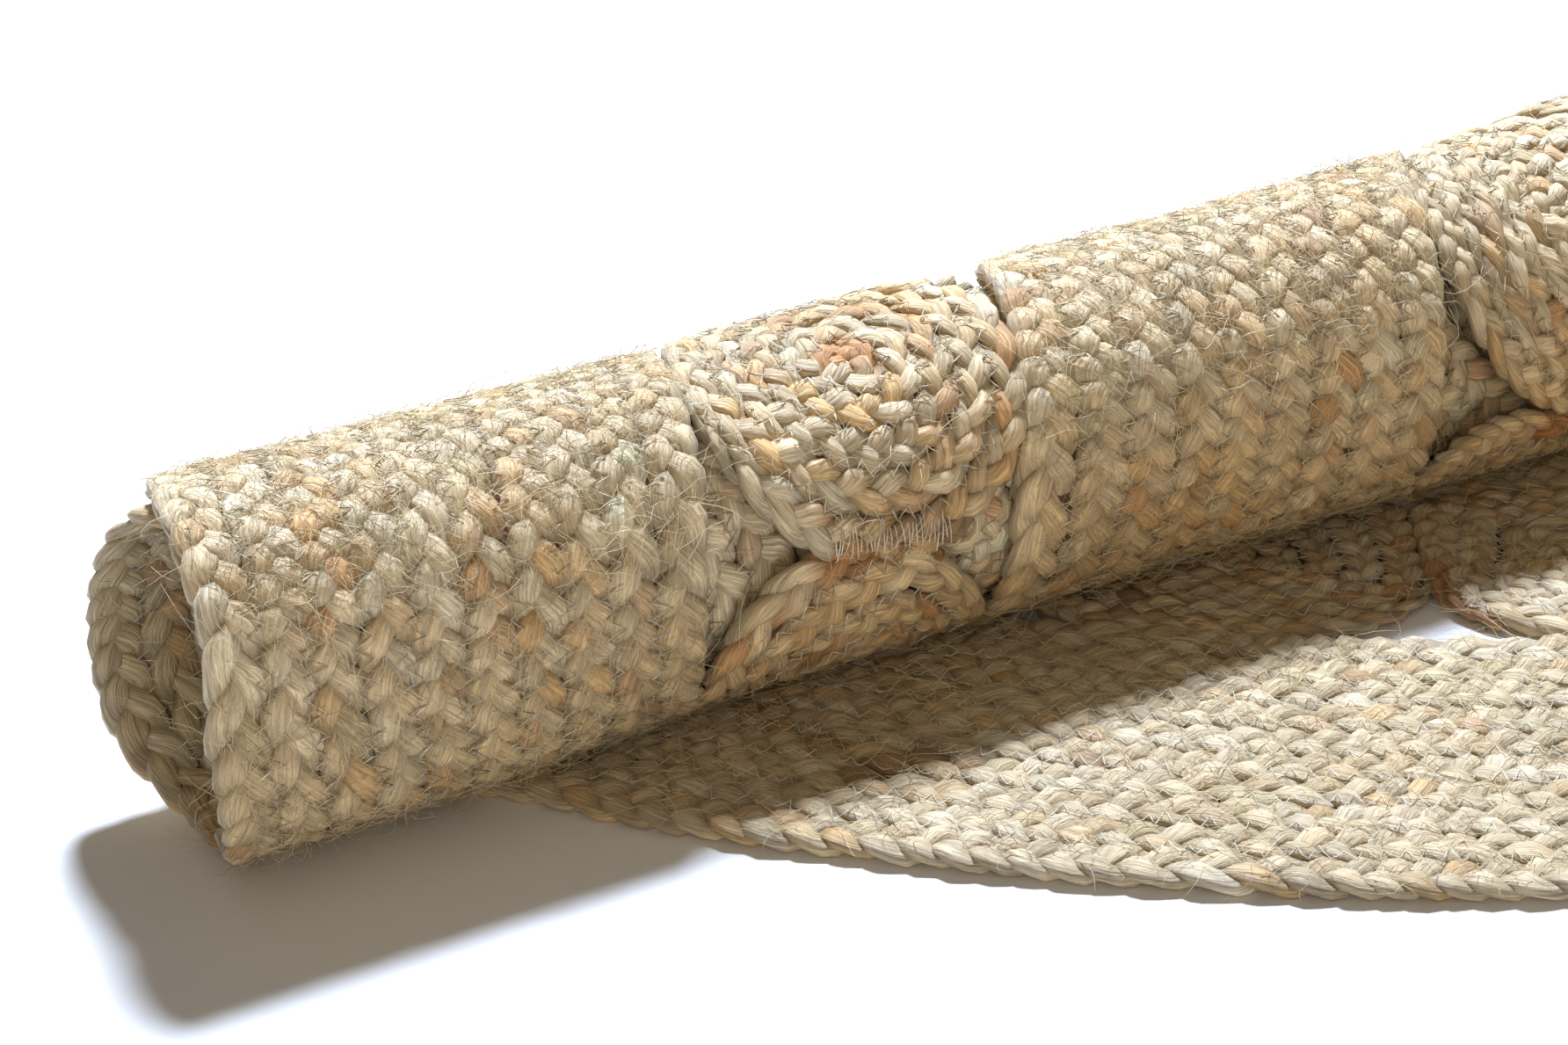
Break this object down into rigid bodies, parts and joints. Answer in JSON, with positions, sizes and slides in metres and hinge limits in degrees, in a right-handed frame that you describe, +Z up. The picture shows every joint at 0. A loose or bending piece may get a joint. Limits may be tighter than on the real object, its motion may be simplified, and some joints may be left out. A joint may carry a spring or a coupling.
{
  "type": "area rug",
  "caption": "Round braided jute area rug, partly rolled up, sewn from flat coils of plait: a centre, a band, a wide border and two rings of rosettes.",
  "frame": {"origin": "on the floor, below the middle of the bounding box of the partly rolled rug", "axes": "+X along the axis of the roll, +Z up, the flat front of the rug points towards -Y"},
  "size_m": [1.22, 0.358, 0.0941],
  "materials": {
    "jute_border": "undyed braided jute, straw beige with darker strands",
    "jute_band": "undyed braided jute, warm tan",
    "jute_centre": "undyed braided jute, golden beige",
    "jute_rosette": "undyed braided jute, tan with orange-brown strands"
  },
  "bodies": {
    "root": {"border_coil": "jute_border", "band_coil": "jute_band", "centre_coil": "jute_centre", "outer_rosette_01": "jute_rosette", "outer_rosette_02": "jute_rosette", "outer_rosette_03": "jute_rosette", "outer_rosette_04": "jute_rosette", "outer_rosette_05": "jute_rosette", "outer_rosette_06": "jute_rosette", "outer_rosette_07": "jute_rosette", "outer_rosette_08": "jute_rosette", "outer_rosette_09": "jute_rosette", "outer_rosette_10": "jute_rosette", "outer_rosette_11": "jute_rosette", "outer_rosette_12": "jute_rosette", "outer_rosette_13": "jute_rosette", "outer_rosette_14": "jute_rosette", "outer_rosette_15": "jute_rosette", "outer_rosette_16": "jute_rosette", "outer_rosette_17": "jute_rosette", "outer_rosette_18": "jute_rosette", "outer_rosette_19": "jute_rosette", "outer_rosette_20": "jute_rosette", "outer_rosette_21": "jute_rosette", "outer_rosette_22": "jute_rosette", "outer_rosette_23": "jute_rosette", "outer_rosette_24": "jute_rosette", "outer_rosette_25": "jute_rosette", "inner_rosette_01": "jute_rosette", "inner_rosette_02": "jute_rosette", "inner_rosette_03": "jute_rosette", "inner_rosette_04": "jute_rosette", "inner_rosette_05": "jute_rosette", "inner_rosette_06": "jute_rosette", "inner_rosette_07": "jute_rosette", "inner_rosette_08": "jute_rosette", "inner_rosette_09": "jute_rosette", "inner_rosette_10": "jute_rosette", "inner_rosette_11": "jute_rosette", "inner_rosette_12": "jute_rosette", "inner_rosette_13": "jute_rosette"}
  },
  "joints": []
}
